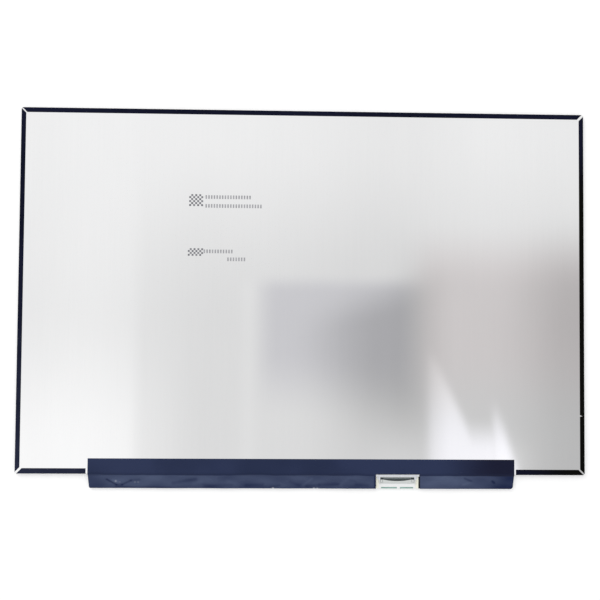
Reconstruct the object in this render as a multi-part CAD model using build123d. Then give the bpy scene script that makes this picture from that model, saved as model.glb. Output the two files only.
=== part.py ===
from build123d import *
import os

# Laptop screen panel, lying face down with its rear side up. Sizes are in millimetres.
# X runs along the lower edge, Y towards the top edge of the screen, Z from the screen to the rear.
# The origin is on the screen's front plane, in the middle of the outline.

# Outline over the edge tapes; the control board stands out below the lower edge
module_width = 306.6
module_height = 197.0
board_overhang = 7.65

# Dark border round the lit screen
side_border = 2.5
top_border = 2.5
lower_border = 6.0

# Glass cell
front_polarizer_thickness = 0.15
colour_filter_thickness = 0.25
array_glass_thickness = 0.25
rear_polarizer_thickness = 0.13
polarizer_setback = 0.3
polarizer_margin = 0.5
cell_clearance = 0.1
cell_lower_inset = 1.8
bond_ledge = 2.0
glass_corner = 0.5
rim_tape_thickness = 0.1
rim_tape_setback = 0.1

# Mid frame
frame_wall = 0.7
frame_rail = 0.9
frame_clearance = 0.05
frame_corner = 0.4
frame_chamfer = 0.15
lip_thickness = 0.2
lip_clearance = 0.1

# Optical sheets
prism_thickness = 0.13
diffuser_thickness = 0.1
light_guide_thickness = 0.55
reflector_thickness = 0.1
sheet_clearance = 0.12
sheet_corner = 0.3
sheet_setback = 0.3
ear_width = 8.0
ear_depth = 0.4
ear_spacing = 160.0

# Light bar along the lower edge
light_bar_depth = 3.2
led_count = 40
led_end_margin = 6.4
led_width = 3.0
led_depth = 0.8
led_height = 0.5
led_gap = 0.05
led_window_margin = 0.2
led_window_depth = 0.15
flex_thickness = 0.06
flex_tape_thickness = 0.04
flex_overlap = 0.5
flex_margin = 0.12
flex_tape_margin = 0.3
flex_end_margin = 1.5
tail_x = -72.0
tail_width = 8.0
tail_clearance = 0.4
tail_bend_radius = 0.8
tail_drop_run = 1.2

# Back plate: pressed tray with a field raised by the thickness of the edge tapes
plate_thickness = 0.2
plate_bend_radius = 0.3
plate_corner = 0.5
plate_corner_relief = 0.9
field_gap = 0.25
field_corner = 0.6

# Edge tapes, with mitred ends at the corners
edge_tape_thickness = 0.06
top_tape_flange = 2.7
side_tape_flange = 2.58
lower_tape_flange = 2.93
edge_tape_front = 0.05
gap_top_left = 0.6
gap_top_right = 1.24
gap_lower_right = 0.78
gap_lower_left = 1.17
strip_gap_left = 1.0
strip_gap_right = 0.85
nick_height = 31.85
nick_width = 1.0
nick_depth = 1.45

# Cover tape over the control board
cover_thickness = 0.06
cover_length = 229.45
cover_middle = 0.075
cover_on_plate = 8.25
cover_taper = 0.9
cover_corner_left = 0.8
cover_corner_right = 1.3
cover_fold_run = 0.9
cover_front_flange = 2.0
cover_hold = 0.4
cover_span = 9.0
cover_span_height = 0.6
window_margin_left = 1.58
window_margin_right = 2.3
window_inset = 0.2

# Control board
board_thickness = 0.6
board_gap = 0.2
board_end_margin = 0.6
board_edge_clearance = 0.1
board_corner = 0.5
land_thickness = 0.04

# Source films between the glass and the board, with one driver chip on each
source_film_count = 4
source_film_pitch = 56.0
source_film_width = 38.0
source_film_taper = 2.0
source_film_thickness = 0.04
source_film_bond = 1.2
source_driver_width = 18.0
source_driver_depth = 1.0
source_driver_height = 0.22

# Cable connector
connector_x = 51.35
contact_count = 30
contact_pitch = 0.5
contact_width = 0.2
contact_thickness = 0.1
contact_tail = 0.35
contact_reach = 0.9
contact_play = 0.03
connector_setback = 0.8
connector_height = 0.85
connector_floor = 0.2
connector_rear_wall = 0.45
connector_pocket = 2.05
connector_front_bar = 1.15
connector_bar_height = 0.45
connector_bar_chamfer = 0.15
connector_bar_bow = 0.85
connector_end_wall = 0.7
connector_end_space = 1.75
connector_post_width = 1.05
connector_post_depth = 1.3
connector_post_height = 0.62
connector_post_gap = 0.18
connector_post_setback = 0.65
shell_thickness = 0.1
shell_side_reach = 2.0
shell_tab_length = 0.9
shell_tab_width = 1.1
shell_roof_depth = 0.1
shell_lip_depth = 0.93
shell_lip_left = 1.6
shell_lip_right = 1.95
side_land_width = 1.45
side_land_gap = 0.05
front_land_gap = 0.12
land_stripe_height = 0.75
land_stripe_end = 1.2
land_stripe_gap = 1.6
land_stripe_shift = 0.75

# Parts on the rear of the board
chip_chamfer = 0.06
chip_mark_radius = 0.25
chip_mark_depth = 0.05
timing_controller_x = -14.0
timing_controller_size = 5.0
timing_controller_height = 0.8
power_converter_x = 18.0
power_converter_size = 4.0
power_converter_height = 0.75
backlight_driver_x = -49.0
backlight_driver_size = 3.0
backlight_driver_height = 0.75
level_shifter_x = 88.0
level_shifter_size = 3.5
level_shifter_height = 0.75
memory_chip_x = 4.5
memory_chip_size = 2.0
memory_chip_height = 0.55
inductor_size = 3.0
inductor_height = 0.95
inductor_base_height = 0.15
inductor_corner = 0.7
inductor_gap = 1.2
capacitor_length = 1.0
capacitor_width = 0.5
capacitor_height = 0.5
resistor_length = 0.6
resistor_width = 0.3
resistor_height = 0.23
terminal_share = 0.25
terminal_rise = 0.02
passive_gap = 0.45
passive_rows = 4
resistor_row_count = 8
resistor_row_pitch = 1.6
resistor_row_x = -100.0

# Backlight socket for the tail of the LED flex
socket_height = 0.9
socket_depth = 3.0
socket_setback = 1.5
socket_side = 1.2
socket_slot_height = 0.16
socket_slot_depth = 1.8
socket_entry_height = 0.45
latch_depth = 0.9
latch_height = 0.35
latch_play = 0.05
socket_contact_count = 12
socket_contact_width = 0.2
socket_contact_length = 0.7
socket_contact_thickness = 0.1

# Levels, from the front of the screen to the rear
z_colour_filter = front_polarizer_thickness
z_array = z_colour_filter + colour_filter_thickness
z_array_back = z_array + array_glass_thickness
z_frame = z_array_back + rim_tape_thickness
z_upper_prism = z_frame + lip_thickness
z_lower_prism = z_upper_prism + prism_thickness
z_diffuser = z_lower_prism + prism_thickness
z_light_guide = z_diffuser + diffuser_thickness
z_reflector = z_light_guide + light_guide_thickness
z_plate = z_reflector + reflector_thickness
z_rim = z_plate + plate_thickness
z_flex_tape = z_plate - flex_tape_thickness
z_flex = z_flex_tape - flex_thickness
z_board = z_array
z_board_back = z_board + board_thickness

# Edges of the outline
x_left = -module_width / 2
x_right = module_width / 2
y_top = (module_height + board_overhang) / 2
y_lower = y_top - module_height
y_cover_end = y_lower - board_overhang
cover_left = cover_middle - cover_length / 2
cover_right = cover_middle + cover_length / 2

# Distances in from the outline
plate_inset = edge_tape_thickness
frame_inset = plate_inset + plate_thickness + frame_clearance
frame_inner = frame_inset + frame_wall
rail_inner = frame_inset + frame_rail
cell_inset = edge_tape_thickness + cell_clearance
side_polarizer = side_border - polarizer_margin
top_polarizer = top_border - polarizer_margin
lower_polarizer = lower_border - polarizer_margin
sheet_inset = frame_inner + sheet_clearance
guide_lower = rail_inner + light_bar_depth
sheet_lower = guide_lower + sheet_setback
flex_upper = guide_lower + flex_overlap

# Board outline and the connector's place on it
board_left = cover_left + cover_taper + board_end_margin
board_right = cover_right - cover_taper - board_end_margin
board_top = y_lower - board_gap
board_low = y_cover_end + cover_thickness + board_edge_clearance
board_middle = (board_top + board_low) / 2
mouth_width = (contact_count - 1) * contact_pitch + 2 * connector_end_space + 2 * contact_width
connector_width = mouth_width + 2 * connector_end_wall
connector_depth = connector_rear_wall + connector_pocket + connector_front_bar
connector_rear = board_top - connector_setback
connector_front = connector_rear - connector_depth
connector_left = connector_x - connector_width / 2
connector_right = connector_x + connector_width / 2
window_left = connector_left - shell_thickness - window_margin_left
window_right = connector_right + shell_thickness + window_margin_right

# Parts under the cover tape: middle, size along the board and height of each
chips = {
    "timing_controller": (timing_controller_x, timing_controller_size, timing_controller_height),
    "power_converter": (power_converter_x, power_converter_size, power_converter_height),
    "backlight_driver": (backlight_driver_x, backlight_driver_size, backlight_driver_height),
    "level_shifter": (level_shifter_x, level_shifter_size, level_shifter_height),
    "memory_chip": (memory_chip_x, memory_chip_size, memory_chip_height),
}
inductor_reach = passive_gap + capacitor_length + inductor_gap + inductor_size / 2
inductor_spots = [
    power_converter_x + power_converter_size / 2 + inductor_reach,
    backlight_driver_x + backlight_driver_size / 2 + inductor_reach,
    level_shifter_x - level_shifter_size / 2 - inductor_reach,
]
socket_width = tail_width + 2 * socket_side


def blank(side, top, lower):
    """Rectangle set in from the module's outer faces."""
    width = module_width - 2 * side
    height = module_height - top - lower
    return Pos(0, (y_top - top + y_lower + lower) / 2) * Rectangle(width, height)


def cut_blank(side, top, lower, corner):
    """Set-in rectangle with its corners cut off."""
    return chamfer(blank(side, top, lower).vertices(), corner)


def round_blank(side, top, lower, radius):
    """Set-in rectangle with rounded corners."""
    return fillet(blank(side, top, lower).vertices(), radius)


def rectangle(x0, x1, y0, y1):
    """Rectangle between two pairs of edges."""
    return Pos((x0 + x1) / 2, (y0 + y1) / 2) * Rectangle(x1 - x0, y1 - y0)


def sheet(shape, z, thickness):
    """Flat piece of a given outline, standing on level z."""
    return extrude(Pos(0, 0, z) * shape, thickness, dir=(0, 0, 1))


def strip_section(points, radii, thickness):
    """Section of a bent strip: a path in Y and Z, thickened to its right-hand side."""
    path = FilletPolyline(*points, radius=radii)
    return make_face(offset(path, thickness, side=Side.RIGHT, kind=Kind.INTERSECTION).edges())


def along_x(section, x0, x1):
    """Section drawn in Y and Z, drawn out from x0 to x1."""
    return extrude(Plane.YZ.offset(x0) * section, x1 - x0, dir=(1, 0, 0))


def group(solids):
    """Several separate solids that make one node."""
    return Compound(children=[solid for part in solids for solid in part.solids()])


def make_cell():
    """Glass sheets of the screen with a polarizer on each side."""
    filter_lower = cell_lower_inset + bond_ledge
    front_inset = cell_inset + polarizer_setback
    front = cut_blank(front_inset, front_inset, filter_lower + polarizer_setback, sheet_corner)
    colour_filter = cut_blank(cell_inset, cell_inset, filter_lower, glass_corner)
    array = cut_blank(cell_inset, cell_inset, cell_lower_inset, glass_corner)
    rear = cut_blank(side_polarizer, top_polarizer, lower_polarizer, sheet_corner)
    return {
        "front_polarizer": sheet(front, 0, front_polarizer_thickness),
        "colour_filter_glass": sheet(colour_filter, z_colour_filter, colour_filter_thickness),
        "array_glass": sheet(array, z_array, array_glass_thickness),
        "rear_polarizer": sheet(rear, z_array_back, rear_polarizer_thickness),
    }


def lip_opening():
    """Opening of the frame's lip, which clears the rear polarizer."""
    side = side_polarizer - lip_clearance
    top = top_polarizer - lip_clearance
    return cut_blank(side, top, lower_polarizer - lip_clearance, sheet_corner)


def make_rim_tape():
    """Tape ring between the glass cell and the frame's lip."""
    setback = frame_inset + rim_tape_setback
    ring = cut_blank(setback, setback, cell_lower_inset + rim_tape_setback, frame_corner) - lip_opening()
    return sheet(ring, z_array_back, rim_tape_thickness)


def ears(play):
    """Locating ears at the top edge of the optical sheets, or the notches for them."""
    upper = y_top - sheet_inset + ear_depth + play
    lower = y_top - sheet_inset - ear_depth
    ear = rectangle(-ear_width / 2 - play, ear_width / 2 + play, lower, upper)
    return [Pos(x, 0) * ear for x in (-ear_spacing / 2, ear_spacing / 2)]


def make_frame():
    """Moulded frame: outer wall, lip under the sheets, notches for the ears and the flex tail."""
    outer = cut_blank(frame_inset, frame_inset, frame_inset, frame_corner)
    well = blank(frame_inner, frame_inner, rail_inner)
    wall = sheet(outer - well, z_frame, z_plate - z_frame)
    lip = sheet(outer - lip_opening(), z_frame, lip_thickness)
    frame = wall + lip
    rear_face = frame.faces().sort_by(Axis.Z)[-1]
    frame = chamfer(rear_face.outer_wire().edges(), frame_chamfer)
    for ear in ears(sheet_clearance):
        frame -= sheet(ear, z_upper_prism, z_light_guide - z_upper_prism)
    half_tail = tail_width / 2 + tail_clearance
    tail = rectangle(tail_x - half_tail, tail_x + half_tail, y_lower, y_lower + rail_inner + frame_wall)
    return frame - sheet(tail, z_flex - flex_thickness, z_plate - z_flex + flex_thickness)


def make_sheets():
    """Prism sheets and diffuser with their ears, light guide plate and reflector."""
    film = cut_blank(sheet_inset, sheet_inset, sheet_lower, sheet_corner)
    for ear in ears(0):
        film += ear
    guide = cut_blank(sheet_inset, sheet_inset, guide_lower, sheet_corner)
    reflector = cut_blank(sheet_inset, sheet_inset, flex_upper + sheet_clearance, sheet_corner)
    return {
        "upper_prism_sheet": sheet(film, z_upper_prism, prism_thickness),
        "lower_prism_sheet": sheet(film, z_lower_prism, prism_thickness),
        "diffuser_sheet": sheet(film, z_diffuser, diffuser_thickness),
        "light_guide_plate": sheet(guide, z_light_guide, light_guide_thickness),
        "reflector_sheet": sheet(reflector, z_reflector, reflector_thickness),
    }


def make_light_bar():
    """LED row on a flex strip; the flex has a bent tail that reaches the socket on the board."""
    end = sheet_inset + flex_end_margin
    x0 = x_left + end
    x1 = x_right - end
    y0 = y_lower + rail_inner + flex_margin
    y1 = y_lower + flex_upper
    strip = sheet(rectangle(x0, x1, y0, y1), z_flex, flex_thickness)
    margin = flex_tape_margin
    tape_outline = rectangle(x0 + margin, x1 - margin, y0 + margin, y1 - margin)
    z_entry = z_board_back + socket_entry_height
    y_drop = y_lower - plate_inset
    y_entry = y_drop - tail_drop_run
    y_end = board_top - socket_setback - socket_slot_depth + sheet_clearance
    path = [(y1, z_flex), (y_drop, z_flex), (y_entry, z_entry), (y_end, z_entry)]
    tail_section = strip_section(path, tail_bend_radius, flex_thickness)
    tail = along_x(tail_section, tail_x - tail_width / 2, tail_x + tail_width / 2)
    led_y = y_lower + guide_lower - led_gap - led_depth / 2
    led = extrude(Rectangle(led_width, led_depth), led_height)
    lens_y = led_depth / 2 - led_window_depth / 2
    lens = Rectangle(led_width - 2 * led_window_margin, led_window_depth)
    led -= Pos(0, lens_y, led_window_margin / 2) * extrude(lens, led_height - led_window_margin)
    first = x0 + led_end_margin
    led_pitch = (x1 - x0 - 2 * led_end_margin) / (led_count - 1)
    leds = [Pos(first + i * led_pitch, led_y, z_flex - led_height) * led for i in range(led_count)]
    return {
        "led_flex": strip + tail,
        "led_flex_tape": sheet(tape_outline, z_flex_tape, flex_tape_thickness),
        "light_bar_leds": group(leds),
    }


def make_plate():
    """Back plate: tray with a raised field; its walls are open at the corners and at the flex tail."""
    tray = sheet(round_blank(plate_inset, plate_inset, plate_inset, plate_corner), z_frame, z_rim - z_frame)
    tray = fillet(tray.faces().sort_by(Axis.Z)[-1].edges(), plate_bend_radius)
    inner = plate_inset + plate_thickness
    hollow_outline = round_blank(inner, inner, inner, plate_corner - plate_thickness)
    hollow = sheet(hollow_outline, z_frame, z_plate - z_frame)
    hollow = fillet(hollow.faces().sort_by(Axis.Z)[-1].edges(), plate_bend_radius - plate_thickness)
    plate = tray - hollow
    side_seat = side_tape_flange + field_gap
    top_seat = top_tape_flange + field_gap
    lower_seat = lower_tape_flange + field_gap
    field = round_blank(side_seat, top_seat, lower_seat, field_corner)
    notch_top = y_lower + cover_on_plate + field_gap
    field -= rectangle(cover_left - field_gap, cover_right + field_gap, y_lower, notch_top)
    plate += sheet(field, z_rim, edge_tape_thickness)
    plate -= sheet(field, z_plate, edge_tape_thickness)
    relief = Rectangle(2 * plate_corner_relief, 2 * plate_corner_relief)
    for x in (x_left, x_right):
        for y in (y_lower, y_top):
            plate -= sheet(Pos(x, y) * relief, z_frame, z_plate - z_frame)
    half_tail = tail_width / 2 + tail_clearance
    tail = rectangle(tail_x - half_tail, tail_x + half_tail, y_lower, y_lower + frame_inset)
    return plate - sheet(tail, z_frame, z_plate - z_frame)


def edge_tape(length, flange, start_gap, end_gap):
    """Edge tape along X with its outer face on Y = 0; a gap is that of a mitred corner, None a square end."""
    z_flange = z_rim + edge_tape_thickness
    section = rectangle(0, flange, z_rim, z_flange)
    section += rectangle(0, edge_tape_thickness, edge_tape_front, z_flange)
    inner = section.vertices().sort_by_distance((edge_tape_thickness, z_rim))[0]
    section = fillet(inner, plate_bend_radius)
    outer = section.vertices().sort_by_distance((0, z_flange))[0]
    section = fillet(outer, plate_bend_radius + edge_tape_thickness)
    tape = along_x(section, 0, length)
    if start_gap is not None:
        mitre = Plane((start_gap / 2**0.5, 0, 0), z_dir=(1, -1, 0))
        tape = split(tape, bisect_by=mitre, keep=Keep.TOP)
    if end_gap is not None:
        mitre = Plane((length - end_gap / 2**0.5, 0, 0), z_dir=(-1, -1, 0))
        tape = split(tape, bisect_by=mitre, keep=Keep.TOP)
    return tape


def make_edge_tapes():
    """Five edge tapes round the plate; the right one has a V nick in its inner edge."""
    top = edge_tape(module_width, top_tape_flange, gap_top_right, gap_top_left)
    top = Pos(x_right, y_top) * Rot(0, 0, 180) * top
    left = edge_tape(module_height, side_tape_flange, gap_top_left, gap_lower_left)
    left = Pos(x_left, y_top) * Rot(0, 0, -90) * left
    right = edge_tape(module_height, side_tape_flange, gap_lower_right, gap_top_right)
    nick = Polygon(
        (nick_height, side_tape_flange - nick_depth),
        (nick_height + nick_width, side_tape_flange + nick_depth / 2),
        (nick_height - nick_width / 2, side_tape_flange + nick_depth / 2),
        align=None,
    )
    right -= sheet(nick, z_plate, z_rim - z_plate + 2 * edge_tape_thickness)
    right = Pos(x_right, y_lower) * Rot(0, 0, 90) * right
    left_strip = cover_left - strip_gap_left - x_left
    right_strip = x_right - cover_right - strip_gap_right
    lower_left = edge_tape(left_strip, lower_tape_flange, gap_lower_left, None)
    lower_left = Pos(x_left, y_lower) * lower_left
    lower_right = edge_tape(right_strip, lower_tape_flange, None, gap_lower_right)
    lower_right = Pos(x_right - right_strip, y_lower) * lower_right
    return {
        "edge_tape_top": top,
        "edge_tape_left": left,
        "edge_tape_right": right,
        "edge_tape_lower_left": lower_left,
        "edge_tape_lower_right": lower_right,
    }


def cover_stations():
    """Places along the cover tape and its height there: it rests on the parts and sinks between them."""
    held = list(chips.values())
    held += [(x, inductor_size, inductor_height) for x in inductor_spots]
    held.append((tail_x, socket_width, socket_height))
    stations = [(cover_left, cover_span_height)]
    for x, size, height in sorted(held):
        reach = size / 2 + cover_hold
        start = stations[-1][0]
        if x - reach - start > cover_span:
            stations.append(((start + x - reach) / 2, cover_span_height))
        stations.append((x - reach, height))
        stations.append((x + reach, height))
    stations.append((cover_right, cover_span_height))
    return stations


def cover_section(height):
    """Section of the cover tape where it lies at a given height above the board."""
    y_edge = y_cover_end + cover_thickness
    z_film = z_board_back + height
    path = [
        (y_lower + cover_on_plate, z_rim),
        (y_lower + plate_inset, z_rim),
        (y_lower - cover_fold_run, z_film),
        (y_edge, z_film),
        (y_edge, z_board),
        (y_edge + cover_front_flange, z_board),
    ]
    return strip_section(path, 0, cover_thickness)


def make_cover_tape():
    """Cover tape from the plate, down over the board and round its lower edge, with the connector window."""
    sections = [Plane.YZ.offset(x) * cover_section(height) for x, height in cover_stations()]
    cover = loft(sections, ruled=True)
    plan = Polygon(
        (cover_left, y_lower + cover_on_plate),
        (cover_left, y_lower),
        (cover_left + cover_taper, y_cover_end),
        (cover_right - cover_taper, y_cover_end),
        (cover_right, y_lower),
        (cover_right, y_lower + cover_on_plate),
        align=None,
    )
    plan = fillet(plan.vertices().sort_by_distance((cover_left, y_cover_end))[0], cover_corner_left)
    plan = fillet(plan.vertices().sort_by_distance((cover_right, y_cover_end))[0], cover_corner_right)
    plan -= rectangle(window_left, window_right, y_cover_end, y_lower + window_inset)
    return cover & sheet(plan, 0, z_rim + 2 * cover_thickness)


def make_board():
    """Control board and the plated lands round its connector, with two bare stripes at its lower edge."""
    middle_x = (board_left + board_right) / 2
    board_outline = RectangleRounded(board_right - board_left, board_top - board_low, board_corner)
    board = sheet(Pos(middle_x, board_middle) * board_outline, z_board, board_thickness)
    inner = connector_width / 2 + shell_thickness + side_land_gap
    outer = inner + side_land_width
    lands = []
    for side in (-1, 1):
        x0, x1 = sorted((connector_x + side * inner, connector_x + side * outer))
        lands.append(rectangle(x0, x1, board_low, board_top))
    front = rectangle(connector_left, connector_right, board_low, connector_front - front_land_gap)
    tab_left = connector_x + land_stripe_shift - land_stripe_gap / 2
    for x0, x1 in (
        (connector_left + land_stripe_end, tab_left),
        (tab_left + land_stripe_gap, connector_right - land_stripe_end),
    ):
        front -= rectangle(x0, x1, board_low, board_low + land_stripe_height)
    lands.append(front)
    first = connector_x - (contact_count - 1) * contact_pitch / 2
    for i in range(contact_count):
        x0 = first + i * contact_pitch - contact_width / 2
        lands.append(rectangle(x0, x0 + contact_width, connector_rear, connector_rear + contact_tail))
    return {
        "control_board": board,
        "board_lands": group([sheet(land, z_board_back, land_thickness) for land in lands]),
    }


def make_source_films():
    """Thin films that join the glass to the board, each with a driver chip on its rear side."""
    nodes = {}
    y_glass = y_lower + cell_lower_inset
    y_film_top = y_glass + source_film_bond
    y_film_low = board_top - source_film_bond
    half_top = source_film_width / 2
    half_low = half_top - source_film_taper
    film = Polygon(
        (-half_top, y_film_top),
        (-half_top, y_glass),
        (-half_low, board_top),
        (-half_low, y_film_low),
        (half_low, y_film_low),
        (half_low, board_top),
        (half_top, y_glass),
        (half_top, y_film_top),
        align=None,
    )
    driver = Pos(0, (y_glass + board_top) / 2) * Rectangle(source_driver_width, source_driver_depth)
    for i in range(source_film_count):
        x = (i - (source_film_count - 1) / 2) * source_film_pitch
        z_film = z_array - source_film_thickness
        nodes[f"source_film_{i + 1}"] = sheet(Pos(x, 0) * film, z_film, source_film_thickness)
        nodes[f"source_driver_{i + 1}"] = sheet(Pos(x, 0) * driver, z_array, source_driver_height)
    return nodes


def make_connector():
    """Cable connector: moulded housing, metal shell with a rear lip, and a row of bent contacts."""
    rear = connector_rear
    pocket_front = rear - connector_rear_wall - connector_pocket
    footprint = rectangle(connector_left, connector_right, connector_front, rear)
    base = sheet(footprint, z_board_back, connector_floor)
    wall = rectangle(connector_left, connector_right, rear - connector_rear_wall, rear)
    for x0, x1 in (
        (connector_left, connector_left + connector_end_wall),
        (connector_right - connector_end_wall, connector_right),
    ):
        wall += rectangle(x0, x1, connector_front, rear)
    housing = base + sheet(wall, z_board_back, connector_height)
    post_outer = mouth_width / 2 - connector_post_gap
    post_inner = post_outer - connector_post_width
    bar_half = post_inner - connector_post_gap
    x0 = connector_x - bar_half
    x1 = connector_x + bar_half
    y_bow = pocket_front + connector_bar_bow
    bar_edges = [
        Polyline((x0, y_bow), (x0, connector_front), (x1, connector_front), (x1, y_bow)),
        ThreePointArc((x1, y_bow), (connector_x, pocket_front), (x0, y_bow)),
    ]
    bar_outline = make_face([edge for curve in bar_edges for edge in curve.edges()])
    bar = sheet(bar_outline, z_board_back, connector_bar_height)
    front_edge = bar.faces().sort_by(Axis.Z)[-1].edges().sort_by(Axis.Y)[0]
    housing += chamfer(front_edge, connector_bar_chamfer)
    for side in (-1, 1):
        x = connector_x + side * (post_inner + post_outer) / 2
        y = connector_front + connector_post_setback + connector_post_depth / 2
        post = Pos(x, y) * Rectangle(connector_post_width, connector_post_depth)
        housing += sheet(post, z_board_back, connector_post_height)

    z_tail = z_board_back + land_thickness
    z_arm = z_board_back + connector_height - 2 * contact_thickness - contact_play
    z_tip = z_board_back + connector_floor + contact_play
    y_rise = rear - connector_rear_wall / 2
    y_knee = rear - connector_rear_wall - contact_reach / 3
    y_tip = rear - connector_rear_wall - contact_reach
    path = [(rear + contact_tail, z_tail), (y_rise, z_tail), (y_rise, z_arm), (y_knee, z_arm), (y_tip, z_tip)]
    section = strip_section(path, 0, contact_thickness)
    slot_half = contact_width / 2 + contact_play
    first = connector_x - (contact_count - 1) * contact_pitch / 2
    contacts = []
    for i in range(contact_count):
        x = first + i * contact_pitch
        contacts.append(along_x(section, x - contact_width / 2, x + contact_width / 2))
        slot = rectangle(x - slot_half, x + slot_half, rear - connector_rear_wall, rear)
        housing -= sheet(slot, z_tail - contact_play, z_arm - z_tail + contact_thickness + 2 * contact_play)

    roof = rectangle(connector_left, connector_right, rear - shell_roof_depth, rear)
    lip_left = connector_left - shell_lip_left
    lip_right = connector_right + shell_lip_right
    roof += rectangle(lip_left, lip_right, rear, rear + shell_lip_depth)
    legs = []
    for side in (-1, 1):
        face = connector_x + side * connector_width / 2
        x0, x1 = sorted((face, face - side * connector_end_wall))
        roof += rectangle(x0, x1, rear - shell_side_reach, rear)
        x0, x1 = sorted((face, face + side * shell_thickness))
        legs.append(rectangle(x0, x1, rear - shell_side_reach, rear))
    z_roof = z_board_back + connector_height
    shell = sheet(roof, z_roof, shell_thickness)
    for leg in legs:
        shell += sheet(leg, z_tail, z_roof - z_tail + shell_thickness)
    for side in (-1, 1):
        face = connector_x + side * connector_width / 2
        x0, x1 = sorted((face, face + side * (shell_thickness + shell_tab_length)))
        y_tab = rear - shell_side_reach / 2
        tab = rectangle(x0, x1, y_tab - shell_tab_width / 2, y_tab + shell_tab_width / 2)
        shell += sheet(tab, z_tail, shell_thickness)
    return {"connector_housing": housing, "connector_shell": shell, "connector_contacts": group(contacts)}


def chip(size, height):
    """Chip package with chamfered top edges and a first-pin dimple."""
    body = extrude(Rectangle(size, size), height)
    body = chamfer(body.faces().sort_by(Axis.Z)[-1].edges(), chip_chamfer)
    mark = size / 2 - 2 * chip_mark_radius
    dimple = extrude(Circle(chip_mark_radius), chip_mark_depth)
    return body - Pos(-mark, mark, height - chip_mark_depth) * dimple


def passive(length, width, height):
    """Two-terminal chip part with slightly raised end terminals."""
    terminal = length * terminal_share
    body = extrude(Rectangle(length, width), height - terminal_rise)
    for side in (-1, 1):
        body += extrude(Pos(side * (length - terminal) / 2, 0) * Rectangle(terminal, width), height)
    return body


def make_board_parts():
    """Chips, inductors and small parts on the rear of the board."""
    nodes = {}
    capacitors = []
    capacitor = passive(capacitor_length, capacitor_width, capacitor_height)
    pitch = capacitor_width + passive_gap
    for name, (x, size, height) in chips.items():
        nodes[name] = Pos(x, board_middle, z_board_back) * chip(size, height)
        for side in (-1, 1):
            column = x + side * (size / 2 + passive_gap + capacitor_length / 2)
            for row in range(passive_rows):
                y = board_middle + (row - (passive_rows - 1) / 2) * pitch
                capacitors.append(Pos(column, y, z_board_back) * capacitor)
    nodes["ceramic_capacitors"] = group(capacitors)

    base = extrude(Rectangle(inductor_size, inductor_size), inductor_base_height)
    core = RectangleRounded(inductor_size, inductor_size, inductor_corner)
    inductor = base + Pos(0, 0, inductor_base_height) * extrude(core, inductor_height - inductor_base_height)
    nodes["power_inductors"] = group([Pos(x, board_middle, z_board_back) * inductor for x in inductor_spots])

    resistor = passive(resistor_length, resistor_width, resistor_height)
    resistors = []
    for i in range(resistor_row_count):
        for row in (-1, 1):
            x = resistor_row_x + i * resistor_row_pitch
            resistors.append(Pos(x, board_middle + row * pitch, z_board_back) * resistor)
    nodes["chip_resistors"] = group(resistors)
    return nodes


def make_socket():
    """Backlight socket: housing with a slot for the flex tail, closed latch bar and solder contacts."""
    half = socket_width / 2
    y_mouth = board_top - socket_setback
    y_back = y_mouth - socket_depth
    z_entry = z_board_back + socket_entry_height
    z_slot = z_entry + flex_thickness / 2 - socket_slot_height / 2
    z_latch = z_board_back + socket_height - latch_height
    body = sheet(rectangle(tail_x - half, tail_x + half, y_back, y_mouth), z_board_back, socket_height)
    slot_half = tail_width / 2 + latch_play
    slot = rectangle(tail_x - slot_half, tail_x + slot_half, y_mouth - socket_slot_depth, y_mouth)
    body -= sheet(slot, z_slot, socket_slot_height)
    seat = rectangle(tail_x - half, tail_x + half, y_back, y_back + latch_depth + latch_play)
    body -= sheet(seat, z_latch, latch_height)
    latch_section = Polygon(
        (y_back, z_latch),
        (y_back + latch_depth, z_latch),
        (y_back + latch_depth, z_latch + latch_height),
        (y_back + latch_height / 2, z_latch + latch_height),
        (y_back, z_latch + latch_height / 2),
        align=None,
    )
    latch = along_x(latch_section, tail_x - half, tail_x + half)
    pitch = tail_width / socket_contact_count
    contacts = []
    for i in range(socket_contact_count):
        x = tail_x + (i - (socket_contact_count - 1) / 2) * pitch
        half_contact = socket_contact_width / 2
        tail = rectangle(x - half_contact, x + half_contact, y_back - socket_contact_length, y_back)
        contacts.append(sheet(tail, z_board_back, socket_contact_thickness))
    return {
        "backlight_socket": body,
        "backlight_socket_latch": latch,
        "backlight_socket_contacts": group(contacts),
    }


nodes = {"back_plate": make_plate(), "mid_frame": make_frame(), "cell_rim_tape": make_rim_tape()}
nodes.update(make_cell())
nodes.update(make_sheets())
nodes.update(make_light_bar())
nodes.update(make_edge_tapes())
nodes["board_cover_tape"] = make_cover_tape()
nodes.update(make_board())
nodes.update(make_source_films())
nodes.update(make_connector())
nodes.update(make_board_parts())
nodes.update(make_socket())

os.makedirs("parts", exist_ok=True)
for name, shape in nodes.items():
    export_step(shape, f"parts/{name}.step")
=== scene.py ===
import math

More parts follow.
